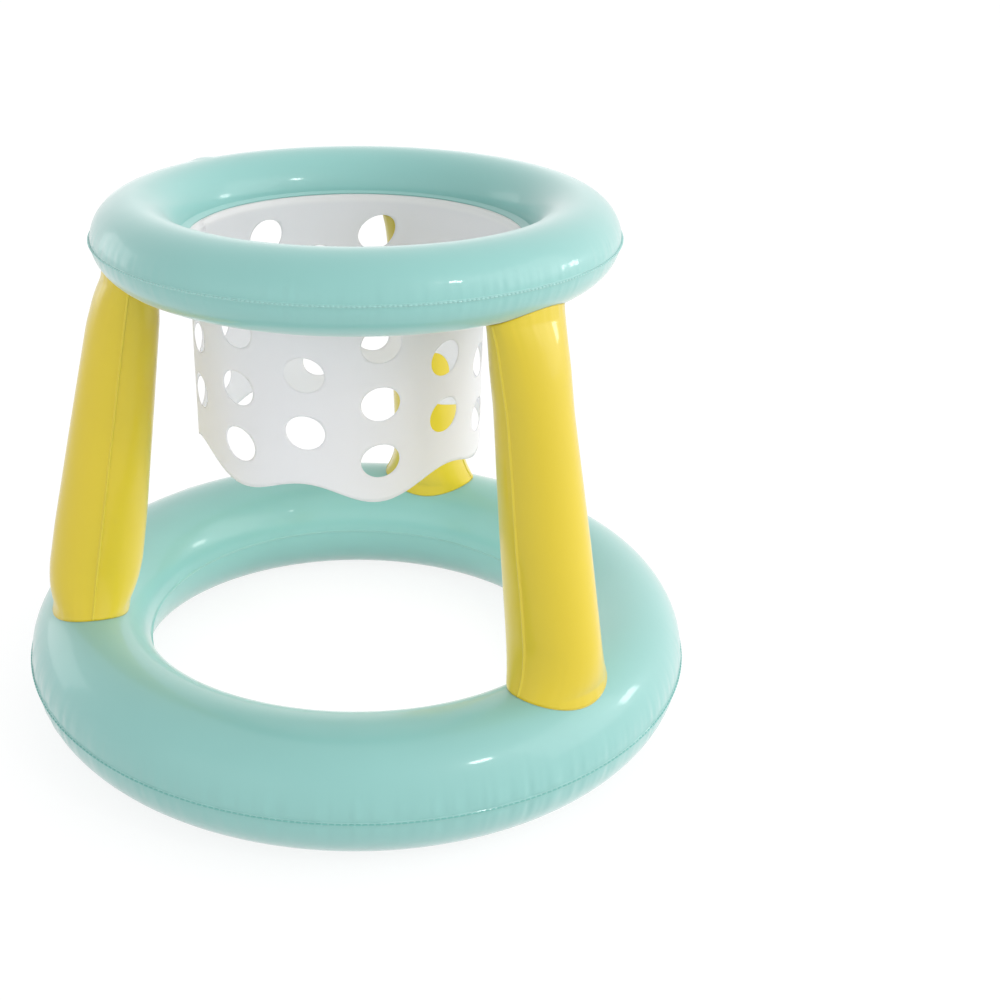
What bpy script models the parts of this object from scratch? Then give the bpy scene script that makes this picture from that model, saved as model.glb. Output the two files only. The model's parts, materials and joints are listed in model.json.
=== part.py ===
"""Floating basketball hoop: an inflatable base ring, three inflated legs, a smaller top ring
and a perforated sheet sleeve that hangs in it as the net.

Metres, +Z up. The origin is on the water or the floor, under the middle of the base ring.
One leg stands on the +Y side and the other two about a third of a turn away on either hand.
Every inflated piece is a shell of thin film: two sheets welded together at their seams.
"""

import math
from collections import namedtuple

import bmesh
import bpy
import numpy as np
from mathutils import Matrix, Vector

TURN = 2 * math.pi

# Film and fits
SHEET = 0.0004
FIT = 0.0003
CUT_OVERRUN = 0.012

# Base ring
BASE_OUTER_RADIUS = 0.335
BASE_TUBE_HALF_WIDTH = 0.0614
BASE_TUBE_HALF_HEIGHT = 0.0599
BASE_INNER_SEAM_RISE = 0.003
BASE_WELD_LIP = 0.0015
BASE_FACETS = 40
BASE_UPPER_STEPS = 8
BASE_LOWER_STEPS = 9

# Top ring
TOP_OUTER_RADIUS = 0.2439
TOP_TUBE_HALF_WIDTH = 0.0403
TOP_TUBE_HALF_HEIGHT = 0.0352
TOP_CENTRE_HEIGHT = 0.4813
TOP_WELD_LIP = 0.0012
TOP_INNER_WELD_LIP = 0.0036
TOP_FACETS = 36
TOP_STEPS = 7

# How far each tube's section goes from an ellipse to a lens with pinched seams
LENS_SHARE = 0.6

# Legs: how far inside the middle of the base tube the axis starts, and how far outside the
# middle of the top tube it ends. The two front legs stand a little wider than even thirds.
LEG_COUNT = 3
FIRST_LEG_ANGLE = math.radians(90)
LEG_SPREAD_ANGLE = math.radians(1.4)
LEG_FOOT_INSET = 0.0045
LEG_HEAD_OUTSET = 0.0072
LEG_WIDEST_RADIAL_HALF = 0.0455
LEG_WIDEST_SIDE_HALF = 0.0558
LEG_SIDE_STEPS = 8
LEG_END_OVERRUN = 0.020
# Along the leg from foot to head: height, half width out from the middle of the hoop, half width
# sideways. The foot flares sideways to its weld, where the film is drawn down on the ring.
LEG_STATION_SHARES = (
    (0.00, 0.800, 1.000),
    (0.03, 0.940, 0.840),
    (0.07, 0.970, 0.708),
    (0.12, 1.000, 0.682),
    (0.26, 0.976, 0.656),
    (0.40, 0.921, 0.662),
    (0.55, 0.866, 0.628),
    (0.75, 0.785, 0.592),
    (0.87, 0.736, 0.640),
    (0.95, 0.650, 0.675),
    (1.00, 0.540, 0.740),
)

# Weld collars where a leg meets a ring
COLLAR_OUTSIDE_WIDTH = 0.004
COLLAR_INSIDE_WIDTH = 0.007
COLLAR_SIDES = 16

# Air port from the base ring into each leg
AIR_PORT_RADIUS = 0.010

# Net sleeve
NET_RADIUS = 0.138
NET_HEM_RADIUS = 0.1554
NET_HEM_DROP = 0.0050
NET_NECK_DROP = 0.062
NET_MEAN_LENGTH = 0.2019
NET_WAVE_HALF_HEIGHT = 0.0088
NET_SAG = 0.0057
NET_SAG_ANGLE = math.radians(-64)
NET_SWING_X = -0.0156
NET_SWING_Y = -0.0054
NET_COLUMNS = 36
NET_NECK_ROWS = 3
NET_OVERLAP_ANGLE = math.radians(3)
NET_OVERLAP_RAMP_ANGLE = math.radians(15)
NET_SEAM_ANGLE = math.radians(180)
HOLE_WIDTH = 0.036
HOLE_HEIGHT = 0.0315
HOLE_ROW_PITCH = 0.0541
HOLE_LOWEST_DROP = 0.1708
HOLE_ROWS = 3
HOLE_SIDES = 12
HOLE_COLUMNS = 13
HOLE_FIRST_ANGLE = math.radians(192.4)
HOLE_COLUMN_ANGLE = math.radians(28.2)
# A soft fold in the hanging sleeve's back shifts the column of holes on it and those beside it
FOLD_COLUMN = 9
FOLD_SHIFT = math.radians(8.8)
FOLD_SPREAD = 1.1

# Inflation valves
VALVE_STEPS = 16
VALVE_ANGLE = math.radians(150)
BASE_VALVE_FACET = 6
TOP_VALVE_FACET = 5
VALVE_DISC_RADIUS = 0.0100
VALVE_DISC_THICKNESS = 0.0008
SOCKET_OUTER_RADIUS = 0.0063
SOCKET_BORE_RADIUS = 0.0053
SOCKET_NECK_RADIUS = 0.0048
SOCKET_NECK_LENGTH = 0.0015
SOCKET_DEPTH = 0.0155
STEM_RADIUS = 0.0045
STEM_BORE_RADIUS = 0.0030
STEM_DEPTH = 0.0145
STEM_COLLAR_RADIUS = 0.0062
STEM_COLLAR_THICKNESS = 0.0012
STEM_BEAD_RADIUS = 0.0050
STEM_BEAD_THICKNESS = 0.0010
LUG_WIDTH = 0.0040
LUG_REACH = 0.0085
CAP_RADIUS = 0.0056
CAP_THICKNESS = 0.0012
PLUG_LENGTH = 0.0040
PLUG_TIP_RADIUS = 0.0017
STRAP_WIDTH = 0.0034
STRAP_THICKNESS = 0.0008
STRAP_TAIL = 0.0004
STOPPER_HINGE_RADIUS = 0.0075
FLAP_RADIUS = 0.0038
FLAP_THICKNESS = 0.0005
FLAP_HINGE_RADIUS = 0.0039

MERGE_DISTANCE = 0.00001

Ring = namedtuple(
    "Ring",
    "radius wall half_height centre inner_seam outer_seam inner_lip outer_lip"
    " facets upper_steps lower_steps",
)

BASE = Ring(
    radius=BASE_OUTER_RADIUS - BASE_TUBE_HALF_WIDTH,
    wall=BASE_TUBE_HALF_WIDTH - BASE_WELD_LIP,
    half_height=BASE_TUBE_HALF_HEIGHT,
    centre=BASE_TUBE_HALF_HEIGHT,
    inner_seam=BASE_TUBE_HALF_HEIGHT + BASE_INNER_SEAM_RISE,
    outer_seam=BASE_TUBE_HALF_HEIGHT,
    inner_lip=BASE_WELD_LIP,
    outer_lip=BASE_WELD_LIP,
    facets=BASE_FACETS,
    upper_steps=BASE_UPPER_STEPS,
    lower_steps=BASE_LOWER_STEPS,
)

TOP = Ring(
    radius=TOP_OUTER_RADIUS - TOP_TUBE_HALF_WIDTH,
    wall=TOP_TUBE_HALF_WIDTH - TOP_WELD_LIP,
    half_height=TOP_TUBE_HALF_HEIGHT,
    centre=TOP_CENTRE_HEIGHT,
    inner_seam=TOP_CENTRE_HEIGHT,
    outer_seam=TOP_CENTRE_HEIGHT,
    inner_lip=TOP_INNER_WELD_LIP,
    outer_lip=TOP_WELD_LIP,
    facets=TOP_FACETS,
    upper_steps=TOP_STEPS,
    lower_steps=TOP_STEPS,
)


# Scene, collections and materials

def clear_scene():
    for item in list(bpy.data.objects):
        bpy.data.objects.remove(item, do_unlink=True)


def new_collection(name):
    collection = bpy.data.collections.new(name)
    bpy.context.scene.collection.children.link(collection)
    return collection


def new_material(name, colour, roughness):
    material = bpy.data.materials.new(name)
    material.use_nodes = True
    shader = material.node_tree.nodes["Principled BSDF"]
    shader.inputs["Base Color"].default_value = (*colour, 1)
    shader.inputs["Roughness"].default_value = roughness
    shader.inputs["Metallic"].default_value = 0
    material.diffuse_color = (*colour, 1)
    return material


clear_scene()
PARTS = new_collection("floating_hoop")
CUTTERS = new_collection("cutters")
AQUA_FILM = new_material("aqua_film", (0.34, 0.62, 0.57), 0.25)
YELLOW_FILM = new_material("yellow_film", (0.76, 0.58, 0.05), 0.28)
WHITE_FILM = new_material("white_film", (0.80, 0.79, 0.79), 0.35)
CLEAR_VINYL = new_material("clear_vinyl", (0.72, 0.78, 0.77), 0.30)


# Mesh helpers

def add_object(name, mesh, material, cutter=False):
    item = bpy.data.objects.new(name, mesh)
    if material:
        mesh.materials.append(material)
    (CUTTERS if cutter else PARTS).objects.link(item)
    if cutter:
        item.hide_render = True
        item.display_type = "WIRE"
    return item


def turned(name, profile, steps, material, cutter=False, closed=True):
    """Turn a profile of (radius, height) points round Z."""
    mesh = bpy.data.meshes.new(name)
    points = [(radius, 0, height) for radius, height in profile]
    edges = [(i, i + 1) for i in range(len(points) - 1)]
    if closed:
        edges.append((len(points) - 1, 0))
    mesh.from_pydata(points, edges, [])
    item = add_object(name, mesh, material, cutter)
    screw = item.modifiers.new("turn", "SCREW")
    screw.axis = "Z"
    screw.angle = TURN
    screw.steps = steps
    screw.render_steps = steps
    screw.use_merge_vertices = True
    screw.merge_threshold = MERGE_DISTANCE
    screw.use_smooth_shade = False
    return item


def boolean(item, tool, operation, solver="EXACT"):
    step = item.modifiers.new(operation.lower(), "BOOLEAN")
    step.operation = operation
    step.solver = solver
    step.object = tool
    return step


def block(name, size, centre, cutter=True):
    """A box whose sizes and middle are given in the frame of its parent."""
    mesh = bpy.data.meshes.new(name)
    shape = bmesh.new()
    bmesh.ops.create_cube(shape, size=1)
    bmesh.ops.scale(shape, vec=size, verts=shape.verts)
    bmesh.ops.translate(shape, vec=centre, verts=shape.verts)
    shape.to_mesh(mesh)
    shape.free()
    return add_object(name, mesh, None, cutter)


def elliptic_prism(shape, half_x, half_y, height, sides, place):
    """Add a closed elliptic cylinder along local Z to a bmesh, then put it where place says."""
    made = bmesh.ops.create_cone(
        shape, cap_ends=True, segments=sides, radius1=1, radius2=1, depth=1
    )
    bmesh.ops.transform(
        shape, matrix=place @ Matrix.Diagonal((half_x, half_y, height, 1)), verts=made["verts"]
    )


def offset_line(points, distance):
    """Shift an open line of 2D points to its left by a distance, with mitred corners."""
    line = [Vector(point) for point in points]
    normals = []
    for start, end in zip(line, line[1:]):
        along = (end - start).normalized()
        normals.append(Vector((-along.y, along.x)))
    shifted = []
    for i, point in enumerate(line):
        before = normals[max(i - 1, 0)]
        after = normals[min(i, len(normals) - 1)]
        shifted.append(point + (before + after) * (distance / (1 + before.dot(after))))
    return [tuple(point) for point in shifted]


# Ring sections

def wall_line(ring, side, steps):
    """Outer face of a ring's upper (side 1) or lower (side -1) sheet, from inner to outer seam."""
    width = ring.wall
    height = ring.half_height
    arc_radius = (width * width + height * height) / (2 * height)
    arc_centre = height - arc_radius
    arc_start = math.atan2(-arc_centre, width)
    crown = ring.centre + side * height
    line = []
    for i in range(steps + 1):
        share = i / steps
        turn = math.pi * share
        arc = math.pi - arc_start - share * (math.pi - 2 * arc_start)
        across = (LENS_SHARE - 1) * width * math.cos(turn) + LENS_SHARE * arc_radius * math.cos(arc)
        rise = (1 - LENS_SHARE) * math.sin(turn)
        rise += LENS_SHARE * (arc_centre + arc_radius * math.sin(arc)) / height
        if steps % 2 and abs(2 * i - steps) == 1:
            rise = 1
        seam = ring.inner_seam + (ring.outer_seam - ring.inner_seam) * (across / width + 1) / 2
        seam += side * (FIT / 2 + SHEET)
        line.append((ring.radius + across, seam + (crown - seam) * rise))
    return line


def ring_steps(ring, side):
    return ring.upper_steps if side > 0 else ring.lower_steps


def sheet_profile(ring, side):
    """Closed section of one sheet of a ring, with its flat weld lips."""
    wall = wall_line(ring, side, ring_steps(ring, side))
    first_radius, first_height = wall[0]
    last_radius, last_height = wall[-1]
    inner_tip = (first_radius - ring.inner_lip, first_height)
    outer_tip = (last_radius + ring.outer_lip, last_height)
    outside = [inner_tip] + wall + [outer_tip]
    inside = offset_line(outside, -side * SHEET)
    profile = outside + inside[::-1]
    return profile if side > 0 else profile[::-1]


def ring_sheet(name, ring, side):
    return turned(name, sheet_profile(ring, side), ring.facets, AQUA_FILM)


def ring_envelope(name, ring, clearance):
    """The whole ring as one solid, grown by a clearance: it shapes what is welded to the ring."""
    upper = offset_line(wall_line(ring, 1, ring.upper_steps), clearance)
    lower = offset_line(wall_line(ring, -1, ring.lower_steps), -clearance)
    return turned(name, upper + lower[::-1], ring.facets, None, cutter=True)


# Rings

base_upper = ring_sheet("base_ring_upper_sheet", BASE, 1)
base_lower = ring_sheet("base_ring_lower_sheet", BASE, -1)
top_upper = ring_sheet("top_ring_upper_sheet", TOP, 1)
top_lower = ring_sheet("top_ring_lower_sheet", TOP, -1)

COLLAR_GAP = FIT
COLLAR_FACE = FIT + SHEET
LEG_GAP = COLLAR_FACE + FIT

ENVELOPES = {
    (ring_name, clearance): ring_envelope(f"{ring_name}_envelope_{label}", ring, clearance)
    for ring_name, ring in (("base", BASE), ("top", TOP))
    for label, clearance in (("gap", COLLAR_GAP), ("collar", COLLAR_FACE), ("leg", LEG_GAP))
}


# Legs

BASE_CROWN = BASE.centre + BASE.half_height
TOP_UNDERSIDE = TOP.centre - TOP.half_height
LEG_HEIGHT = TOP_UNDERSIDE - BASE_CROWN
LEG_FOOT_RADIUS = BASE.radius - LEG_FOOT_INSET
LEG_HEAD_RADIUS = TOP.radius + LEG_HEAD_OUTSET


def leg_angle(index):
    even = index * TURN / LEG_COUNT
    spread = LEG_SPREAD_ANGLE * math.sin(even) / math.sin(TURN / LEG_COUNT)
    return FIRST_LEG_ANGLE + even - spread


def leg_stations():
    """Heights, axis radii and half widths up a leg, run on past both ends into the rings."""
    lean = (LEG_HEAD_RADIUS - LEG_FOOT_RADIUS) / LEG_HEIGHT
    stations = []
    for height_share, radial_share, side_share in LEG_STATION_SHARES:
        rise = height_share * LEG_HEIGHT
        stations.append(
            (
                BASE_CROWN + rise,
                LEG_FOOT_RADIUS + lean * rise,
                LEG_WIDEST_RADIAL_HALF * radial_share,
                LEG_WIDEST_SIDE_HALF * side_share,
            )
        )
    height, radius, radial, sideways = stations[0]
    stations.insert(
        0, (height - LEG_END_OVERRUN, radius - lean * LEG_END_OVERRUN, radial, sideways)
    )
    height, radius, radial, sideways = stations[-1]
    stations.append((height + LEG_END_OVERRUN, radius + lean * LEG_END_OVERRUN, radial, sideways))
    return stations


def leg_panel(name, angle, outward):
    """Half of a leg's wall, lofted up its stations between the two side seams."""
    shape = bmesh.new()
    rows = []
    for height, radius, radial, sideways in leg_stations():
        row = []
        for i in range(LEG_SIDE_STEPS + 1):
            turn = math.pi * (i / LEG_SIDE_STEPS - 1 / 2)
            out = outward * max(radial * math.cos(turn), FIT / 2)
            across = sideways * math.sin(turn)
            row.append(shape.verts.new((radius + out, across, height)))
        rows.append(row)
    for lower, upper in zip(rows, rows[1:]):
        for i in range(LEG_SIDE_STEPS):
            corners = [lower[i], lower[i + 1], upper[i + 1], upper[i]]
            shape.faces.new(corners if outward > 0 else corners[::-1])
    bmesh.ops.triangulate(shape, faces=shape.faces)
    mesh = bpy.data.meshes.new(name)
    shape.to_mesh(mesh)
    shape.free()
    item = add_object(name, mesh, YELLOW_FILM)
    item.rotation_euler.z = angle
    wall = item.modifiers.new("film", "SOLIDIFY")
    wall.thickness = SHEET
    wall.offset = -1
    boolean(item, ENVELOPES["base", LEG_GAP], "DIFFERENCE", "MANIFOLD")
    boolean(item, ENVELOPES["top", LEG_GAP], "DIFFERENCE", "MANIFOLD")
    return item


def weld_collar(name, angle, ring_name, radius, height, radial, sideways):
    """A flat ring of film, curved to the tube it is welded to, that a leg's end stands on."""
    place = Matrix.Rotation(angle, 4, "Z") @ Matrix.Translation((radius, 0, height))
    depth = 2 * CUT_OVERRUN + LEG_END_OVERRUN
    mesh = bpy.data.meshes.new(name)
    shape = bmesh.new()
    elliptic_prism(
        shape, radial + COLLAR_OUTSIDE_WIDTH, sideways + COLLAR_OUTSIDE_WIDTH, depth, COLLAR_SIDES, place
    )
    shape.to_mesh(mesh)
    shape.free()
    collar = add_object(name, mesh, YELLOW_FILM)
    hole_mesh = bpy.data.meshes.new(name + "_hole")
    shape = bmesh.new()
    elliptic_prism(
        shape,
        radial - COLLAR_INSIDE_WIDTH,
        sideways - COLLAR_INSIDE_WIDTH,
        depth + CUT_OVERRUN,
        COLLAR_SIDES,
        place,
    )
    shape.to_mesh(hole_mesh)
    shape.free()
    hole = add_object(name + "_hole", hole_mesh, None, cutter=True)
    boolean(collar, hole, "DIFFERENCE")
    boolean(collar, ENVELOPES[ring_name, COLLAR_FACE], "INTERSECT")
    boolean(collar, ENVELOPES[ring_name, COLLAR_GAP], "DIFFERENCE")
    return collar


def make_leg(index):
    angle = leg_angle(index)
    name = f"leg_{index + 1}"
    leg_panel(f"{name}_outer_panel", angle, 1)
    leg_panel(f"{name}_inner_panel", angle, -1)
    stations = leg_stations()
    _, _, foot_radial, foot_side = stations[1]
    _, _, head_radial, head_side = stations[-2]
    weld_collar(
        f"{name}_foot_weld_collar", angle, "base", LEG_FOOT_RADIUS, BASE_CROWN, foot_radial, foot_side
    )
    weld_collar(
        f"{name}_head_weld_collar", angle, "top", LEG_HEAD_RADIUS, TOP_UNDERSIDE, head_radial, head_side
    )


for leg in range(LEG_COUNT):
    make_leg(leg)


# Air ports under the legs

def air_port_cutters():
    shape = bmesh.new()
    for index in range(LEG_COUNT):
        place = Matrix.Rotation(leg_angle(index), 4, "Z")
        place = place @ Matrix.Translation((LEG_FOOT_RADIUS, 0, BASE_CROWN))
        elliptic_prism(
            shape, AIR_PORT_RADIUS, AIR_PORT_RADIUS, BASE.half_height, HOLE_SIDES, place
        )
    mesh = bpy.data.meshes.new("air_ports")
    shape.to_mesh(mesh)
    shape.free()
    return add_object("air_ports", mesh, None, cutter=True)


boolean(base_upper, air_port_cutters(), "DIFFERENCE")


# Net sleeve

NET_TOP = TOP.inner_seam - FIT / 2 - SHEET - FIT - SHEET
RING_BORE_RADIUS = TOP.radius - TOP.wall
NET_WELD_RADIUS = RING_BORE_RADIUS * math.cos(math.pi / TOP.facets) - FIT
NET_WELD_INNER_RADIUS = RING_BORE_RADIUS - TOP.inner_lip


def net_row(drop):
    """Radius of the sleeve, and how far its middle has swung aside, at a drop below its weld."""
    share = (drop - NET_HEM_DROP) / (NET_NECK_DROP - NET_HEM_DROP)
    share = min(max(share, 0), 1)
    ease = share * (2 - share)
    return NET_HEM_RADIUS + (NET_RADIUS - NET_HEM_RADIUS) * ease, ease


def net_point(angle, radius, height, ease):
    return (
        radius * math.cos(angle) + NET_SWING_X * ease,
        radius * math.sin(angle) + NET_SWING_Y * ease,
        height,
    )


def net_columns():
    """Angle of each column of the sheet and how far its overlapping end stands out."""
    angles = [NET_SEAM_ANGLE + i * TURN / NET_COLUMNS for i in range(NET_COLUMNS + 1)]
    angles.append(angles[-1] + NET_OVERLAP_ANGLE)
    full_turn = NET_SEAM_ANGLE + TURN
    columns = []
    for angle in angles:
        ramp = 1 - (full_turn - angle) / NET_OVERLAP_RAMP_ANGLE
        columns.append((angle, (SHEET + FIT) * min(max(ramp, 0), 1)))
    return columns


def hole_column_angle(column):
    """Angle of one column of holes, counted from the overlapped weld all the way round."""
    from_fold = (column - FOLD_COLUMN) / FOLD_SPREAD
    shift = FOLD_SHIFT * math.exp(-from_fold * from_fold)
    return HOLE_FIRST_ANGLE + column * HOLE_COLUMN_ANGLE + shift


def edge_wave(angle):
    """The wave of the lower edge, from 1 below an even column of holes to -1 below an odd one."""
    stops = [NET_SEAM_ANGLE, *map(hole_column_angle, range(HOLE_COLUMNS)), NET_SEAM_ANGLE + TURN]
    counts = [-1 / 2, *range(HOLE_COLUMNS), HOLE_COLUMNS - 1 / 2]
    from_seam = (angle - NET_SEAM_ANGLE) % TURN
    return math.cos(math.pi * np.interp(NET_SEAM_ANGLE + from_seam, stops, counts))


def sagged(angle, drop):
    """The sleeve hangs lower at its front and back than at its sides."""
    share = min(drop / NET_NECK_DROP, 1)
    return drop + NET_SAG * share * math.cos(2 * (angle - NET_SAG_ANGLE))


def net_line(angle):
    """Radius, height and swing down one column: a flat weld hem, a neck and the hanging wall."""
    edge = NET_MEAN_LENGTH + NET_WAVE_HALF_HEIGHT * edge_wave(angle)
    neck_step = (NET_NECK_DROP - NET_HEM_DROP) / NET_NECK_ROWS
    drops = [NET_HEM_DROP + i * neck_step for i in range(NET_NECK_ROWS + 1)]
    drops += [(NET_NECK_DROP + NET_MEAN_LENGTH) / 2, edge]
    line = [(NET_WELD_RADIUS, NET_TOP, 0), (NET_WELD_INNER_RADIUS, NET_TOP, 0)]
    for drop in drops:
        low = sagged(angle, drop)
        radius, ease = net_row(low)
        line.append((radius, NET_TOP - low, ease))
    return line


def net_sleeve():
    shape = bmesh.new()
    columns = []
    for angle, lift in net_columns():
        line = net_line(angle)
        shifted = offset_line([(radius, height) for radius, height, _ in line], lift)
        columns.append(
            [
                shape.verts.new(net_point(angle, radius, height, ease))
                for (radius, height), (_, _, ease) in zip(shifted, line)
            ]
        )
    for near, far in zip(columns, columns[1:]):
        for i in range(len(near) - 1):
            shape.faces.new([near[i], near[i + 1], far[i + 1], far[i]])
    bmesh.ops.triangulate(shape, faces=shape.faces)
    mesh = bpy.data.meshes.new("net_sleeve")
    shape.to_mesh(mesh)
    shape.free()
    item = add_object("net_sleeve", mesh, WHITE_FILM)
    wall = item.modifiers.new("film", "SOLIDIFY")
    wall.thickness = SHEET
    wall.offset = -1
    boolean(item, net_hole_cutters(), "DIFFERENCE")
    return item


def net_hole_cutters():
    """Every other column of holes is raised by half a row."""
    shape = bmesh.new()
    for column in range(HOLE_COLUMNS):
        angle = hole_column_angle(column)
        raised = column % 2 * HOLE_ROW_PITCH / 2
        for row in range(HOLE_ROWS):
            drop = sagged(angle, HOLE_LOWEST_DROP - raised - row * HOLE_ROW_PITCH)
            radius, ease = net_row(drop)
            centre = net_point(angle, radius, NET_TOP - drop, ease)
            place = Matrix.Translation(centre) @ Matrix.Rotation(angle, 4, "Z")
            place = place @ Matrix.Rotation(math.pi / 2, 4, "Y")
            elliptic_prism(
                shape, HOLE_HEIGHT / 2, HOLE_WIDTH / 2, 2 * CUT_OVERRUN, HOLE_SIDES, place
            )
    mesh = bpy.data.meshes.new("net_holes")
    shape.to_mesh(mesh)
    shape.free()
    return add_object("net_holes", mesh, None, cutter=True)


net_sleeve()


# Inflation valves

DISC_TOP = FIT + VALVE_DISC_THICKNESS
NECK_BOTTOM = DISC_TOP - SOCKET_NECK_LENGTH
COLLAR_BOTTOM = DISC_TOP + FIT
COLLAR_TOP = COLLAR_BOTTOM + STEM_COLLAR_THICKNESS
BEAD_TOP = STEM_BEAD_THICKNESS - STEM_DEPTH
STEM_TRAVEL = NECK_BOTTOM - BEAD_TOP - FIT
CAP_BOTTOM = COLLAR_TOP + FIT
CAP_TOP = CAP_BOTTOM + CAP_THICKNESS
STOPPER_HINGE_HEIGHT = CAP_BOTTOM + STRAP_THICKNESS / 2
PLUG_ROOT_RADIUS = STEM_BORE_RADIUS - FIT
FLAP_TOP = -STEM_DEPTH - FIT


def valve_frame(ring, facet):
    """Where a valve sits: the middle of one flat facet of a ring's upper sheet, +Z outwards."""
    step = TURN / ring.facets
    angle = (round(VALVE_ANGLE / step - 1 / 2) + 1 / 2) * step
    wall = wall_line(ring, 1, ring.upper_steps)
    inner = Vector(wall[facet])
    outer = Vector(wall[facet + 1])
    chord = math.cos(step / 2)
    middle = (inner + outer) / 2
    down_slope = Vector(((outer.x - inner.x) * chord, 0, outer.y - inner.y)).normalized()
    around = Vector((0, 1, 0))
    outward = down_slope.cross(around)
    axes = Matrix((around, -down_slope, outward)).transposed().to_4x4()
    place = Matrix.Translation((middle.x * chord, 0, middle.y)) @ axes
    return Matrix.Rotation(angle, 4, "Z") @ place


def empty(name, place, parent=None):
    item = bpy.data.objects.new(name, None)
    PARTS.objects.link(item)
    item.parent = parent
    item.matrix_local = place
    return item


def valve_piece(name, profile, carrier, offset, material=CLEAR_VINYL):
    item = turned(name, profile, VALVE_STEPS, material)
    item.parent = carrier
    item.location = offset
    return item


def valve_block(name, size, centre, carrier, offset):
    item = block(name, size, centre)
    item.parent = carrier
    item.location = offset
    return item


def make_valve(prefix, ring, facet, sheet):
    frame = empty(f"{prefix}_valve_axis", valve_frame(ring, facet))
    origin = Vector((0, 0, 0))

    hole = turned(
        f"{prefix}_valve_hole",
        [
            (0, VALVE_DISC_THICKNESS),
            (SOCKET_OUTER_RADIUS + FIT, VALVE_DISC_THICKNESS),
            (SOCKET_OUTER_RADIUS + FIT, -VALVE_DISC_THICKNESS - SHEET),
            (0, -VALVE_DISC_THICKNESS - SHEET),
        ],
        VALVE_STEPS,
        None,
        cutter=True,
        closed=False,
    )
    hole.parent = frame
    boolean(sheet, hole, "DIFFERENCE")

    valve_piece(
        f"{prefix}_valve_boss",
        [
            (SOCKET_NECK_RADIUS, DISC_TOP),
            (VALVE_DISC_RADIUS, DISC_TOP),
            (VALVE_DISC_RADIUS, FIT),
            (SOCKET_OUTER_RADIUS, FIT),
            (SOCKET_OUTER_RADIUS, -SOCKET_DEPTH),
            (SOCKET_BORE_RADIUS, -SOCKET_DEPTH),
            (SOCKET_BORE_RADIUS, NECK_BOTTOM),
            (SOCKET_NECK_RADIUS, NECK_BOTTOM),
        ],
        frame,
        origin,
    )

    stem = valve_piece(
        f"{prefix}_valve_stem",
        [
            (STEM_BORE_RADIUS, COLLAR_TOP),
            (STEM_COLLAR_RADIUS, COLLAR_TOP),
            (STEM_COLLAR_RADIUS, COLLAR_BOTTOM),
            (STEM_RADIUS, COLLAR_BOTTOM),
            (STEM_RADIUS, BEAD_TOP),
            (STEM_BEAD_RADIUS, BEAD_TOP),
            (STEM_BEAD_RADIUS, -STEM_DEPTH),
            (STEM_BORE_RADIUS, -STEM_DEPTH),
        ],
        frame,
        origin,
    )
    lug_start = (STEM_BORE_RADIUS + STEM_COLLAR_RADIUS) / 2
    lug = valve_block(
        f"{prefix}_valve_lug",
        (LUG_REACH - lug_start, LUG_WIDTH, STEM_COLLAR_THICKNESS),
        (-(LUG_REACH + lug_start) / 2, 0, (COLLAR_TOP + COLLAR_BOTTOM) / 2),
        frame,
        origin,
    )
    boolean(stem, lug, "UNION")

    stopper_hinge = empty(
        f"{prefix}_valve_stopper_hinge",
        Matrix.Translation((-STOPPER_HINGE_RADIUS, 0, STOPPER_HINGE_HEIGHT)),
        frame,
    )
    from_hinge = Vector((STOPPER_HINGE_RADIUS, 0, -STOPPER_HINGE_HEIGHT))
    stopper = valve_piece(
        f"{prefix}_valve_stopper",
        [
            (0, CAP_TOP),
            (CAP_RADIUS, CAP_TOP),
            (CAP_RADIUS, CAP_BOTTOM),
            (PLUG_ROOT_RADIUS, CAP_BOTTOM),
            (PLUG_TIP_RADIUS, CAP_BOTTOM - PLUG_LENGTH),
            (0, CAP_BOTTOM - PLUG_LENGTH),
        ],
        stopper_hinge,
        from_hinge,
    )
    strap_start = CAP_RADIUS / 2
    strap_end = STOPPER_HINGE_RADIUS + STRAP_TAIL
    strap = valve_block(
        f"{prefix}_valve_strap",
        (strap_end - strap_start, STRAP_WIDTH, STRAP_THICKNESS),
        (-(strap_end + strap_start) / 2, 0, STOPPER_HINGE_HEIGHT),
        stopper_hinge,
        from_hinge,
    )
    boolean(stopper, strap, "UNION")

    flap_hinge = empty(
        f"{prefix}_valve_flap_hinge",
        Matrix.Translation((-FLAP_HINGE_RADIUS, 0, FLAP_TOP)),
        frame,
    )
    valve_piece(
        f"{prefix}_valve_flap",
        [
            (0, FLAP_TOP),
            (FLAP_RADIUS, FLAP_TOP),
            (FLAP_RADIUS, FLAP_TOP - FLAP_THICKNESS),
            (0, FLAP_TOP - FLAP_THICKNESS),
        ],
        flap_hinge,
        Vector((FLAP_HINGE_RADIUS, 0, -FLAP_TOP)),
    )
    return frame


VALVE_AXES = {
    "base": make_valve("base", BASE, BASE_VALVE_FACET, base_upper),
    "top": make_valve("top", TOP, TOP_VALVE_FACET, top_upper),
}


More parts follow.
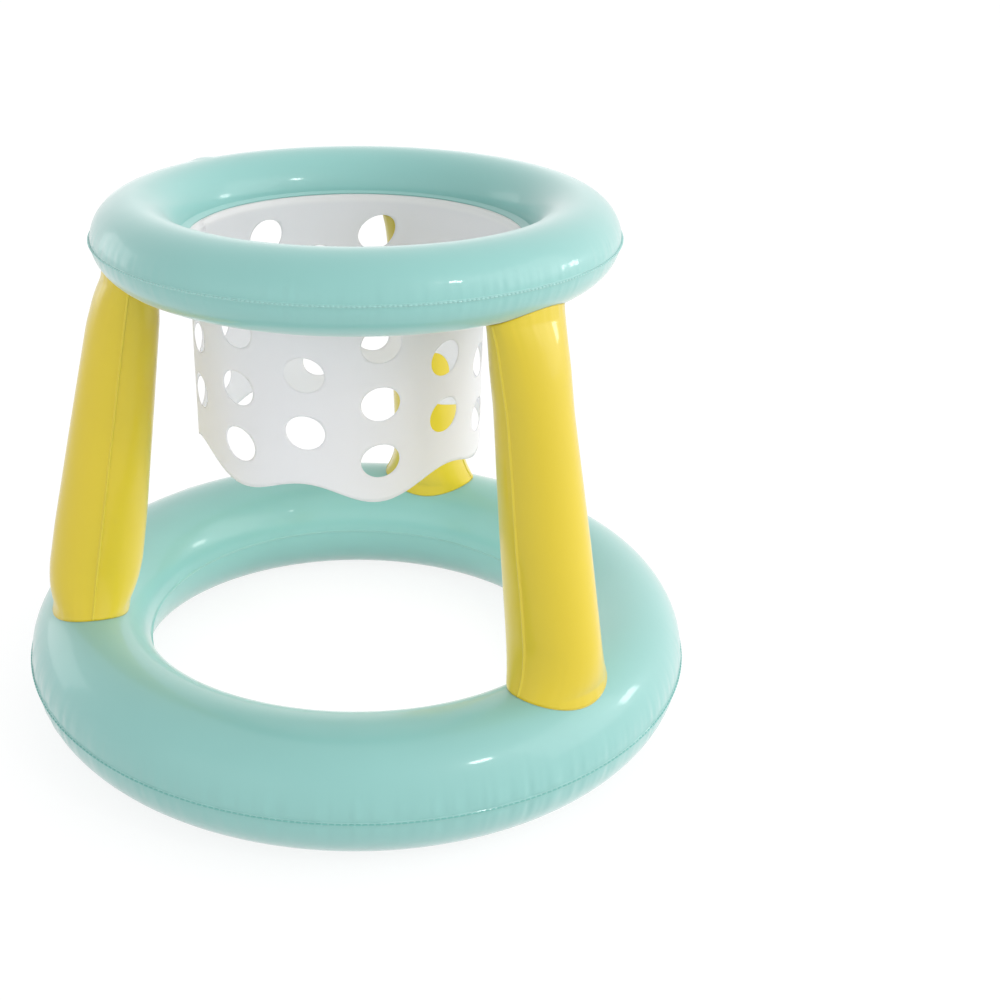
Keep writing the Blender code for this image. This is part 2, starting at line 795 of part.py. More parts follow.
def report():
    bpy.context.view_layer.update()
    triangles = 0
    graph = bpy.context.evaluated_depsgraph_get()
    for item in PARTS.objects:
        if item.type != "MESH":
            continue
        mesh = item.evaluated_get(graph).to_mesh()
        mesh.calc_loop_triangles()
        triangles += len(mesh.loop_triangles)
        print(item.name, len(mesh.loop_triangles), "triangles")
    print("triangles in all", triangles)
    print("stem travel", round(STEM_TRAVEL, 5))
    for name, item in VALVE_AXES.items():
        place = item.matrix_world
        for label, point in (
            ("seat", (0, 0, 0)),
            ("stopper hinge", (-STOPPER_HINGE_RADIUS, 0, STOPPER_HINGE_HEIGHT)),
            ("flap hinge", (-FLAP_HINGE_RADIUS, 0, FLAP_TOP)),
        ):
            print(name, label, [round(x, 6) for x in place @ Vector(point)])
        print(name, "axes X", [round(x, 6) for x in place.col[0][:3]])
        print(name, "axes Y", [round(x, 6) for x in place.col[1][:3]])
        print(name, "axes Z", [round(x, 6) for x in place.col[2][:3]])


report()
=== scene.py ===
# %% [markdown]
# # A floating basketball hoop
# The object is an inflatable toy: a fat ring that floats, three leaning legs, a thinner ring
# on top and a punched sheet that hangs in it as the net. Everything that shows is thin
# coloured film, welded at its seams and blown up tight. The working model is loaded first as
# a fixed frame, and the lesson then dresses it: smooth film in place of the faceted walls,
# puckered welds, glossy vinyl, and a plain studio to look at it in.

import json
import math

import bmesh
import bpy
import numpy as np
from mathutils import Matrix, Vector


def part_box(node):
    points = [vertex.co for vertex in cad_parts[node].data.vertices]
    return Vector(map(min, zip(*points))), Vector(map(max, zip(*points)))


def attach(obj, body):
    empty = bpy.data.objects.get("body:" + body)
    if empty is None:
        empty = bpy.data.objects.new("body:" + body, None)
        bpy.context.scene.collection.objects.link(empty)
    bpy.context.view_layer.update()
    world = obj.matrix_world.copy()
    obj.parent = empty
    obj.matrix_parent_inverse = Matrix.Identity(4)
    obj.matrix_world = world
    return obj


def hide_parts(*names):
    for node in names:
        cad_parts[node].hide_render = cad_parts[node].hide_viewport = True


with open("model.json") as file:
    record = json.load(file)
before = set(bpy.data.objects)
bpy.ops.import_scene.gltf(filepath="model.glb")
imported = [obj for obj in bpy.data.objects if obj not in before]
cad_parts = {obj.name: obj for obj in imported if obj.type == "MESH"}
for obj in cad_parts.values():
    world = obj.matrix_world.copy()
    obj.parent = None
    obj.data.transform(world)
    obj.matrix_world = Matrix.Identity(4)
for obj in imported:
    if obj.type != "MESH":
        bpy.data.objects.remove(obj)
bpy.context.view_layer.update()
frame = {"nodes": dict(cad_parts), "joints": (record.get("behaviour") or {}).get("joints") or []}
TURN = 2 * math.pi

# %% [markdown]
# ## Camera
# The photograph looks down at the hoop by about a quarter of a right angle, from a little to
# the right of its front. The lens is a normal one. The hoop sits left of the middle of the
# picture, so the lens is shifted sideways and the camera still looks at the hoop. Its place,
# angles and lens were solved from the outlines and seams of both rings.

# %% Camera
CAMERA_PLACE = (0.4169, -1.2106, 0.8035)
CAMERA_PITCH = math.radians(64.89)
CAMERA_TURN = math.radians(18.62)
LENS_MM = 50.44
SENSOR_MM = 36
LENS_SHIFT_SHARE = 0.1352

camera_data = bpy.data.cameras.new("camera")
camera_data.lens = LENS_MM
camera_data.sensor_width = SENSOR_MM
camera_data.shift_x = LENS_SHIFT_SHARE
camera = bpy.data.objects.new("camera", camera_data)
camera.location = CAMERA_PLACE
camera.rotation_euler = (CAMERA_PITCH, 0, CAMERA_TURN)
bpy.context.scene.collection.objects.link(camera)
bpy.context.scene.camera = camera
print("camera", round(camera.location.length, 3), "m from the origin")

# %% [markdown]
# ## Helpers for node trees
# Geometry Nodes and materials are both trees of nodes. Short helpers keep their building
# readable: one adds a node and fills or links its sockets by name or number, one hands back
# the new node's first output, one does a sum and one lays out a grid. Three more start a
# geometry tree with named inputs, end it, and run it on a mesh and keep what it makes. One
# puts a new object into the scene.

# %% Node helpers
def add_node(tree, kind, links=None, **settings):
    node = tree.nodes.new(kind)
    for key, value in settings.items():
        setattr(node, key, value)
    for key, value in (links or {}).items():
        if isinstance(value, bpy.types.NodeSocket):
            tree.links.new(value, node.inputs[key])
        else:
            node.inputs[key].default_value = value
    return node


def made(tree, kind, links=None, **settings):
    return add_node(tree, kind, links, **settings).outputs[0]


def calc(tree, operation, *values):
    return made(tree, "ShaderNodeMath", dict(enumerate(values)), operation=operation)


def grid(tree, size_x, size_y, columns, rows):
    links = {"Size X": size_x, "Size Y": size_y, "Vertices X": columns, "Vertices Y": rows}
    return made(tree, "GeometryNodeMeshGrid", links)


def geometry_tree(name, inputs):
    """A geometry tree whose modifier shows these inputs: name, socket type and value."""
    tree = bpy.data.node_groups.new(name, "GeometryNodeTree")
    face = tree.interface
    face.new_socket("Geometry", in_out="INPUT", socket_type="NodeSocketGeometry")
    for label, kind, value in inputs:
        socket = face.new_socket(label, in_out="INPUT", socket_type=kind)
        if value is not None:
            socket.default_value = value
    face.new_socket("Geometry", in_out="OUTPUT", socket_type="NodeSocketGeometry")
    start = tree.nodes.new("NodeGroupInput")
    return tree, start.outputs


def close_tree(tree, geometry, material):
    """Every tree ends the same way: instances made real, one material set."""
    real = made(tree, "GeometryNodeRealizeInstances", {0: geometry})
    painted = made(tree, "GeometryNodeSetMaterial", {0: real, "Material": material})
    add_node(tree, "NodeGroupOutput", {0: painted})


def placed(name, data):
    item = bpy.data.objects.new(name, data)
    bpy.context.scene.collection.objects.link(item)
    return item


def grown(name, seed_mesh, tree, values):
    """Run a tree on a seed mesh and keep the result as a plain mesh object."""
    item = placed(name, seed_mesh)
    modifier = item.modifiers.new("grow", "NODES")
    modifier.node_group = tree
    for socket in tree.interface.items_tree:
        if socket.in_out == "INPUT" and socket.name in values:
            modifier[socket.identifier] = values[socket.name]
    bpy.context.view_layer.update()
    graph = bpy.context.evaluated_depsgraph_get()
    mesh = bpy.data.meshes.new_from_object(item.evaluated_get(graph), depsgraph=graph)
    item.modifiers.remove(modifier)
    item.data = mesh
    mesh.name = name
    return item


# %% [markdown]
# ## Vinyl film
# The film is soft PVC, coloured right through and glossy. It is never perfectly even: the
# colour drifts a little, the rollers leave a fine orange peel and handling leaves the gloss a
# touch uneven. Along each weld the colour is painted paler, a painted highlight for the light
# that the squeezed edge catches. One function builds the material for every colour of film.
# The painted weld highlight comes from an attribute that each sheet stores: how far a point
# lies from the nearest weld. A piece without it is painted in the pale weld colour all over.
# The white film is pale enough for light to pass into it, so it scatters some inside.

# %% Film material
WELD_WIDTH = 0.0005
WELD_BLEND_WIDTH = 2.5 * WELD_WIDTH
DRIFT_SCALE = 7.0
DRIFT_SHARE = 0.10
WEAR_SCALE = 38.0
WEAR_SHARE = 0.15
PEEL_SCALE = 420.0
PEEL_DEPTH = 0.0004
PEEL_SHARE = 0.05
COAT_ROUGHNESS = 0.10
SHEEN_ROUGHNESS = 0.35
VINYL_IOR = 1.5


def film_material(name, colour, weld_colour, roughness, coat, sheen):
    material = bpy.data.materials.new(name)
    material.use_nodes = True
    tree = material.node_tree
    shader = tree.nodes["Principled BSDF"]
    place = add_node(tree, "ShaderNodeTexCoord").outputs["Object"]

    def noise(scale, detail):
        return made(tree, "ShaderNodeTexNoise", {"Vector": place, "Scale": scale, "Detail": detail})

    tint = calc(tree, "MULTIPLY_ADD", noise(DRIFT_SCALE, 2.0), DRIFT_SHARE, 1 - DRIFT_SHARE / 2)
    tinted = made(tree, "ShaderNodeVectorMath", {0: colour, "Scale": tint}, operation="SCALE")

    # Painted highlight: within about a millimetre of a weld the colour turns to the paler weld colour,
    # for the light that the squeezed edge catches.
    weld = add_node(tree, "ShaderNodeAttribute", attribute_name="from_weld").outputs["Fac"]
    weld_range = {"From Min": WELD_WIDTH, "From Max": WELD_BLEND_WIDTH, "To Min": 1.0, "To Max": 0.0}
    weld_highlight_share = made(
        tree, "ShaderNodeMapRange", {"Value": weld, **weld_range}, interpolation_type="SMOOTHSTEP"
    )
    mixed = add_node(
        tree, "ShaderNodeMix", {0: weld_highlight_share, 6: tinted, 7: (*weld_colour, 1)}, data_type="RGBA"
    ).outputs[2]
    tree.links.new(mixed, shader.inputs["Base Color"])

    wear = {"To Min": roughness * (1 - WEAR_SHARE), "To Max": roughness * (1 + WEAR_SHARE)}
    rough = made(tree, "ShaderNodeMapRange", {"Value": noise(WEAR_SCALE, 4.0), **wear})
    tree.links.new(rough, shader.inputs["Roughness"])

    peel = {"Strength": PEEL_SHARE, "Distance": PEEL_DEPTH, "Height": noise(PEEL_SCALE, 1.0)}
    tree.links.new(made(tree, "ShaderNodeBump", peel), shader.inputs["Normal"])
    shader.inputs["Coat Weight"].default_value = coat
    shader.inputs["Coat Roughness"].default_value = COAT_ROUGHNESS
    shader.inputs["Sheen Weight"].default_value = sheen
    shader.inputs["Sheen Roughness"].default_value = SHEEN_ROUGHNESS
    shader.inputs["IOR"].default_value = VINYL_IOR
    return material


def scatter_inside(material, share, reach):
    inputs = material.node_tree.nodes["Principled BSDF"].inputs
    inputs["Subsurface Weight"].default_value = share
    inputs["Subsurface Radius"].default_value = (reach, reach, reach)
    inputs["Subsurface Scale"].default_value = 1.0


# %% Film colours
AQUA = film_material(
    "aqua_vinyl", (0.240, 0.510, 0.478), (0.29, 0.57, 0.535), roughness=0.40, coat=0.6, sheen=0.5
)
YELLOW = film_material(
    "yellow_vinyl", (0.670, 0.510, 0.009), (0.74, 0.59, 0.025), roughness=0.40, coat=0.5, sheen=0.2
)
WHITE = film_material(
    "white_vinyl", (0.665, 0.650, 0.680), (0.76, 0.74, 0.75), roughness=0.50, coat=0.0, sheen=0.1
)
# Partly painted shade: the darker seam colour stands for the doubled film at the base ring's weld and
# for the shade under its lip.
SEAM_AND_SHADE = film_material(
    "aqua_seam_vinyl", (0.15, 0.43, 0.39), (0.15, 0.43, 0.39), roughness=0.40, coat=0.3, sheen=0.2
)
scatter_inside(WHITE, share=0.6, reach=0.003)
print("film materials:", AQUA.name, YELLOW.name, WHITE.name, SEAM_AND_SHADE.name)

# %% [markdown]
# ## The section of an inflated ring
# A ring is two flat washers of film welded along both edges. Blown up, each side swells to
# something between an ellipse and a lens, with its corners pinched at the welds. The same
# rule gives both rings: mix the two curves, add a flat lip outside each weld. The sizes that
# follow the frame are read from it, so the film lies where the walls were.

# %% Ring sizes
FILM = 0.0004
FIT = 0.0003
LENS_SHARE = 0.6
MERGE_DISTANCE = 0.00001


def node_span(*names):
    corners = [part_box(name) for name in names]
    low = [min(corner[0][axis] for corner in corners) for axis in range(3)]
    high = [max(corner[1][axis] for corner in corners) for axis in range(3)]
    return Vector(low), Vector(high)


class Ring:
    """Radius of the tube's middle, half width of its wall, half height, seam heights, lips."""

    def __init__(self, name, half_width, inner_rise, inner_lip, outer_lip):
        low, high = node_span(f"{name}_upper_sheet", f"{name}_lower_sheet")
        self.name = name
        self.radius = high.x - half_width
        self.wall = half_width - outer_lip
        self.half_height = (high.z - low.z) / 2
        self.centre = (high.z + low.z) / 2
        self.outer_seam = self.centre
        self.inner_seam = self.centre + inner_rise
        self.inner_lip = inner_lip
        self.outer_lip = outer_lip


BASE = Ring("base_ring", half_width=0.0614, inner_rise=0.003, inner_lip=0.0015, outer_lip=0.0015)
TOP = Ring("top_ring", half_width=0.0403, inner_rise=-0.003, inner_lip=0.0090, outer_lip=0.0012)
for ring in (BASE, TOP):
    print(ring.name, "radius", round(ring.radius, 4), "tube", round(2 * ring.half_height, 4))

# %% Ring section
def section_curve(ring, side, steps=1500):
    """Outer face of the upper (1) or lower (-1) film, from the outer seam to the inner one."""
    arc_radius = (ring.wall**2 + ring.half_height**2) / (2 * ring.half_height)
    arc_centre = ring.half_height - arc_radius
    arc_start = math.atan2(-arc_centre, ring.wall)
    share = np.linspace(1, 0, steps)
    arc = math.pi - arc_start - share * (math.pi - 2 * arc_start)
    across = (LENS_SHARE - 1) * ring.wall * np.cos(math.pi * share)
    across += LENS_SHARE * arc_radius * np.cos(arc)
    rise = (1 - LENS_SHARE) * np.sin(math.pi * share)
    rise += LENS_SHARE * (arc_centre + arc_radius * np.sin(arc)) / ring.half_height
    seam = ring.inner_seam + (ring.outer_seam - ring.inner_seam) * (across / ring.wall + 1) / 2
    seam += side * (FIT / 2 + FILM)
    crown = ring.centre + side * ring.half_height
    return ring.radius + across, seam + (crown - seam) * rise


RING_CROWDING_SHARE = 0.8
BASE_ROWS = 44
TOP_ROWS = 34


def crowded_ends(count, crowding):
    """Shares from 0 to 1, evenly spaced with crowding 0 and closest at both ends with 1."""
    even = np.linspace(0, 1, count)
    return crowding * (1 - np.cos(math.pi * even)) / 2 + (1 - crowding) * even


def section_rows(ring, side, rows):
    """Points down the section, closer together near both welds, with their weld distance."""
    radius, height = section_curve(ring, side)
    steps = np.hypot(np.diff(radius), np.diff(height))
    length = np.concatenate([[0], np.cumsum(steps)])
    at = crowded_ends(rows, RING_CROWDING_SHARE) * length[-1]
    points = [(np.interp(x, length, radius), np.interp(x, length, height)) for x in at]
    points = [(points[0][0] + ring.outer_lip, points[0][1])] + points
    points.append((points[-1][0] - ring.inner_lip, points[-1][1]))
    from_outer = [0.0] + list(at) + [at[-1]]
    from_inner = [length[-1]] + list(length[-1] - at) + [0.0]
    return points, from_outer, from_inner


points, from_outer, _ = section_rows(BASE, 1, BASE_ROWS)
print("base section:", len(points), "points,", round(from_outer[-1], 4), "m of film across")

# %% [markdown]
# ## Turning the section into film
# The whole ring follows one rule, so Geometry Nodes make it: a grid is laid out with one side
# for the way round and one for the way across, each row takes its radius and height from the
# section, and the grid is rolled up into a ring. Where the film is welded to its partner
# round the outside it has to gather, because it was cut flat, so small puckers stand square
# to the weld. They start from nothing at the weld, are highest a few millimetres up the wall
# and fade away from there. Two noises make them uneven: a fine one for the puckers, and a
# slow one that makes some stretches stronger than others. Each has its own fixed seed.

# %% Ring tree
PUCKER_SEED = 7.0
STRETCH_SEED = 3.0
STRETCH_SCALE = 2.0
STRETCH_STRENGTH = 2.4


def ring_tree():
    tree, given = geometry_tree(
        "ring_film",
        [
            ("Columns", "NodeSocketInt", 1080),
            ("Rows", "NodeSocketInt", 46),
            ("Pucker Height", "NodeSocketFloat", 0.0005),
            ("Pucker Reach", "NodeSocketFloat", 0.010),
            ("Puckers", "NodeSocketFloat", 60.0),
            ("Material", "NodeSocketMaterial", None),
        ],
    )
    flow = grid(tree, 1.0, 1.0, calc(tree, "ADD", given["Columns"], 1.0), given["Rows"])
    place = made(tree, "GeometryNodeInputPosition")
    split = add_node(tree, "ShaderNodeSeparateXYZ", {0: place})
    around = calc(tree, "ADD", split.outputs[0], 0.5)
    across = calc(tree, "ADD", split.outputs[1], 0.5)
    last_row = calc(tree, "SUBTRACT", given["Rows"], 1.0)
    row = calc(tree, "ROUND", calc(tree, "MULTIPLY", across, last_row))
    angle = calc(tree, "MULTIPLY", around, TURN)

    def from_section(value, kind):
        links = {"Geometry": given["Geometry"], "Value": value, "Index": row}
        return made(tree, "GeometryNodeSampleIndex", links, data_type=kind)

    def named(label):
        return made(tree, "GeometryNodeInputNamedAttribute", {"Name": label}, data_type="FLOAT")

    point = add_node(tree, "ShaderNodeSeparateXYZ", {0: from_section(place, "FLOAT_VECTOR")}).outputs
    x = calc(tree, "MULTIPLY", point[0], calc(tree, "COSINE", angle))
    y = calc(tree, "MULTIPLY", point[0], calc(tree, "SINE", angle))
    rolled = made(tree, "ShaderNodeCombineXYZ", {0: x, 1: y, 2: point[2]})

    for label in ("from_outer", "from_weld"):
        links = {"Geometry": flow, "Name": label, "Value": from_section(named(label), "FLOAT")}
        flow = made(
            tree, "GeometryNodeStoreNamedAttribute", links, data_type="FLOAT", domain="POINT"
        )
    flow = made(tree, "GeometryNodeSetPosition", {0: flow, "Position": rolled})
    flow = made(tree, "GeometryNodeMergeByDistance", {0: flow, "Distance": MERGE_DISTANCE})

    here = add_node(tree, "ShaderNodeSeparateXYZ", {0: place}).outputs
    level = made(tree, "ShaderNodeCombineXYZ", {0: here[0], 1: here[1]})
    facing = made(tree, "ShaderNodeVectorMath", {0: level}, operation="NORMALIZE")

    def ripples(scale, seed):
        links = {"Vector": facing, "W": seed, "Scale": scale, "Detail": 1.0}
        noise = made(tree, "ShaderNodeTexNoise", links, noise_dimensions="4D")
        return calc(tree, "SUBTRACT", noise, 0.5)

    stretches = ripples(STRETCH_SCALE, STRETCH_SEED)
    strength = calc(tree, "MULTIPLY_ADD", stretches, STRETCH_STRENGTH, 1.0)
    fine = calc(tree, "MULTIPLY", ripples(given["Puckers"], PUCKER_SEED), strength)
    depth = calc(tree, "DIVIDE", named("from_outer"), given["Pucker Reach"])
    fade = calc(tree, "MULTIPLY", depth, calc(tree, "EXPONENT", calc(tree, "SUBTRACT", 1.0, depth)))
    height = calc(tree, "MULTIPLY", calc(tree, "MULTIPLY", fine, fade), given["Pucker Height"])
    lift = {0: made(tree, "GeometryNodeInputNormal"), "Scale": height}
    offset = made(tree, "ShaderNodeVectorMath", lift, operation="SCALE")
    flow = made(tree, "GeometryNodeSetPosition", {0: flow, "Offset": offset})
    flow = made(tree, "GeometryNodeSetShadeSmooth", {0: flow})
    close_tree(tree, flow, given["Material"])
    return tree


RING_TREE = ring_tree()
print("ring tree:", len(RING_TREE.nodes), "nodes")

# %% Ring films
def store(mesh, label, values):
    layer = mesh.attributes.new(label, "FLOAT", "POINT")
    layer.data.foreach_set("value", np.asarray(values, np.float32).ravel())


def section_mesh(name, ring, side, rows):
    """The section as a line of points for the tree, ordered so that the film faces outwards."""
    points, from_outer, from_inner = section_rows(ring, side, rows)
    order = slice(None) if side > 0 else slice(None, None, -1)
    mesh = bpy.data.meshes.new(name)
    mesh.from_pydata([(r, 0, z) for r, z in points][order], [], [])
    store(mesh, "from_outer", from_outer[order])
    # The weld distance makes the film material paint a paler line along both seams, a painted
    # highlight.
    store(mesh, "from_weld", np.minimum(from_outer, from_inner)[order])
    return mesh


BASE_COLUMNS = 1080
TOP_COLUMNS = 900
LIP_ROWS = 2
BASE_PUCKERS = {"Puckers": 26.0, "Pucker Height": 0.0036, "Pucker Reach": 0.007}
TOP_PUCKERS = {"Puckers": 36.0, "Pucker Height": 0.0014, "Pucker Reach": 0.005}

films = {}
for ring, prefix, columns, rows, puckers in (
    (BASE, "base", BASE_COLUMNS, BASE_ROWS, BASE_PUCKERS),
    (TOP, "top", TOP_COLUMNS, TOP_ROWS, TOP_PUCKERS),
):
    for label, side in (("upper", 1), ("lower", -1)):
        films[f"{prefix}_{label}"] = grown(
            f"{ring.name}_{label}_film",
            section_mesh("section", ring, side, rows),
            RING_TREE,
            {"Columns": columns, "Rows": rows + LIP_ROWS, "Material": AQUA, **puckers},
        )
for name, film in films.items():
    print(name, len(film.data.polygons), "faces")

# %% [markdown]
# ## Seats for the valves
# Each ring has a small valve at the back. Its base plate is welded flat onto the film, so the
# film lies flat under the plate and rises again round it, and there is a round hole for the
# socket. The valve's axis comes from its joint in the frame. The film's points near the axis
# are pressed onto the seat's plane, those inside the hole are deleted, and the hole's rim is
# drawn to a true circle.

# %% Valve seats
SEAT_FLAT_RADIUS = 0.0118
SEAT_BLEND_WIDTH = 0.016
HOLE_RADIUS = 0.0070
PLATE_THICKNESS = 0.0008

AXES = {
    joint["name"].split("_")[0]: Vector(joint["axis"]).normalized()
    for joint in frame["joints"]
    if joint["name"].endswith("valve_pull")
}


def valve_seat(prefix):
    """A point of the valve's axis on the plane of the film's outer face, and the axis."""
    axis = AXES[prefix]
    corners = [vertex.co for vertex in frame["nodes"][f"{prefix}_valve_boss"].data.vertices]
    middle = sum(corners, Vector()) / len(corners)
    plate_top = max(corner.dot(axis) for corner in corners)
    return middle + axis * (plate_top - PLATE_THICKNESS - FIT - middle.dot(axis)), axis


def press_seat(film, seat, axis):
    shape = bmesh.new()
    shape.from_mesh(film.data)
    inside = []
    for vertex in shape.verts:
        offset = vertex.co - seat
        height = offset.dot(axis)
        aside = (offset - axis * height).length
        if aside > SEAT_FLAT_RADIUS + SEAT_BLEND_WIDTH or abs(height) > SEAT_BLEND_WIDTH:
            continue
        share = min(max((aside - SEAT_FLAT_RADIUS) / SEAT_BLEND_WIDTH, 0), 1)
        vertex.co -= axis * height * (1 - share * share * (3 - 2 * share))
        if aside < HOLE_RADIUS:
            inside.append(vertex)
    bmesh.ops.delete(shape, geom=inside, context="VERTS")
    for edge in shape.edges:
        if not edge.is_boundary:
            continue
        for vertex in edge.verts:
            offset = vertex.co - seat
            offset -= axis * offset.dot(axis)
            if offset.length < SEAT_BLEND_WIDTH:
                vertex.co = seat + offset.normalized() * HOLE_RADIUS
    shape.to_mesh(film.data)
    shape.free()


for prefix in ("base", "top"):
    seat, axis = valve_seat(prefix)
    press_seat(films[f"{prefix}_upper"], seat, axis)
    print(prefix, "valve seat at", [round(x, 4) for x in seat])

# %% [markdown]
# The film has no thickness yet. A Solidify modifier gives each sheet its wall, inwards, so
# the outside stays where it is. Then each film takes the place of its faceted wall.

# %% Film thickness
def give_wall(item, thickness=FILM):
    wall = item.modifiers.new("wall", "SOLIDIFY")
    wall.thickness = thickness
    wall.offset = -1
    return item


def settle(item, body, slot, *nodes):
    """Hand a finished piece to the frame: what it moves with and what it stands for. Its finish (slot)
    is not used.
    """
    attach(item, body)
    if nodes:
        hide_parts(*nodes)


for name, film in films.items():
    ring, label = name.split("_")
    give_wall(film)
    settle(film, "hoop", "aqua_film", f"{ring}_ring_{label}_sheet")
print("films settled:", len(films))

# %% [markdown]
# ## Legs
# A leg is two long panels of yellow film, welded down both sides. Its section is an ellipse.
# Across the ring it is deepest a little above the foot. Along the ring it is widest at the
# foot itself, where the weld spreads it, and it widens again at the head. The panels are
# lofted, because both ends have to follow the curved rings: every line up the leg
# runs from where it meets the lower ring to where it meets the upper. Each station gives how
# far up it is, and its two half widths as shares of the widest.

# %% Leg shape
LEG_COUNT = 3
FIRST_LEG_ANGLE = math.radians(90)
LEG_SPREAD_ANGLE = math.radians(1.4)
FOOT_INSET = 0.0045
HEAD_OUTSET = 0.0072
FOOT_RADIUS = BASE.radius - FOOT_INSET
HEAD_RADIUS = TOP.radius + HEAD_OUTSET
WIDEST_RADIAL_HALF = 0.0455
WIDEST_SIDE_HALF = 0.0558
MEETING_STEPS = 30
LEG_STATION_SHARES = (
    (0.00, 0.835, 0.950),
    (0.03, 0.915, 0.845),
    (0.07, 0.970, 0.755),
    (0.12, 1.000, 0.695),
    (0.26, 0.976, 0.662),
    (0.40, 0.921, 0.662),
    (0.55, 0.866, 0.628),
    (0.75, 0.785, 0.592),
    (0.87, 0.736, 0.640),
    (0.95, 0.650, 0.675),
    (1.00, 0.540, 0.740),
)
CROWN = BASE.centre + BASE.half_height
UNDERSIDE = TOP.centre - TOP.half_height
LEG_HEIGHT = UNDERSIDE - CROWN


def leg_angle(index):
    """The rear leg stands on +Y, and the two front ones a little wider than even thirds."""
    even = index * TURN / LEG_COUNT
    spread = LEG_SPREAD_ANGLE * math.sin(even) / math.sin(TURN / LEG_COUNT)
    return FIRST_LEG_ANGLE + even - spread


def smooth_shares(column, width=0.035, samples=400):
    """A station column as a smooth curve: read between stations, then averaged along."""
    table = np.array(LEG_STATION_SHARES)
    at = np.linspace(0, 1, samples)
    values = np.interp(at, table[:, 0], table[:, column])
    reach = int(width * samples)
    kernel = np.hanning(2 * reach + 1)
    padded = np.concatenate(
        [2 * values[0] - values[reach:0:-1], values, 2 * values[-1] - values[-2 : -reach - 2 : -1]]
    )
    return at, np.convolve(padded, kernel / kernel.sum(), mode="valid")


SHARES_AT, RADIAL_SHARES = smooth_shares(1)
_, SIDE_SHARES = smooth_shares(2)


def leg_point(turn, height, grow=0.0):
    """A point of the leg's wall, before the leg is turned to its place in the ring."""
    share = np.clip((height - CROWN) / LEG_HEIGHT, 0, 1)
    lean = (HEAD_RADIUS - FOOT_RADIUS) * (height - CROWN) / LEG_HEIGHT
    radial = WIDEST_RADIAL_HALF * np.interp(share, SHARES_AT, RADIAL_SHARES) + grow
    sideways = WIDEST_SIDE_HALF * np.interp(share, SHARES_AT, SIDE_SHARES) + grow
    return FOOT_RADIUS + lean + radial * np.cos(turn), sideways * np.sin(turn)


def surface_height(ring, side, radius):
    at, height = section_curve(ring, side)
    return np.interp(radius, at[::-1], height[::-1])


def meeting_height(turn, ring, side, clearance, grow=0.0):
    """Height at which a line up the leg meets a ring, by closing in on it step by step."""
    height = np.full(np.shape(turn), CROWN if side > 0 else UNDERSIDE)
    for _ in range(MEETING_STEPS):
        out, across = leg_point(turn, height, grow)
        height = surface_height(ring, side, np.hypot(out, across)) + side * clearance
    return height


print("leg", round(LEG_HEIGHT, 4), "m between the rings")

# %% [markdown]
# Near each end the film is drawn in by its weld and gathers, as a curtain does. The puckers
# here are a sum of three waves round the leg, each with its count, height and phase, which
# fade out in a few centimetres. The panel also turns out into a narrow lip along its side weld.

# %% Leg panels
PANEL_COLUMNS = 56
PANEL_ROWS = 120
SIDE_LIP = 0.0015
COLLAR_FIT = 0.0001
END_PUCKER_HEIGHT = 0.00035
END_PUCKER_REACH = 0.016
PANEL_CROWDING_SHARE = 0.65
LEG_PHASE_STEP = 1.3
HEAD_PHASE = 2
GATHER_WAVES = ((23, 1.0, 1.0), (37, 0.7, 2.1), (61, 0.5, 0.7))


def gathers(turn, phase):
    waves = [height * np.sin(count * turn + step * phase) for count, height, step in GATHER_WAVES]
    return sum(waves) / 2


def round_ring(out, across, height, angle):
    """Points of a leg, turned to the leg's place in the ring."""
    x = out * math.cos(angle) - across * math.sin(angle)
    y = out * math.sin(angle) + across * math.cos(angle)
    return np.stack([x, y, height], axis=-1)


def grid_faces(rows, columns, flip=False, closed=False):
    faces = []
    for i in range(rows - 1):
        for j in range(columns - (0 if closed else 1)):
            right = (j + 1) % columns
            low = i * columns
            high = low + columns
            face = (low + j, low + right, high + right, high + j)
            faces.append(face[::-1] if flip else face)
    return faces


def mesh_object(name, points, faces, material, weld=None):
    mesh = bpy.data.meshes.new(name)
    mesh.from_pydata([tuple(point) for point in points], [], faces)
    if weld is not None:
        store(mesh, "from_weld", weld)
    mesh.shade_smooth()
    mesh.materials.append(material)
    return placed(name, mesh)


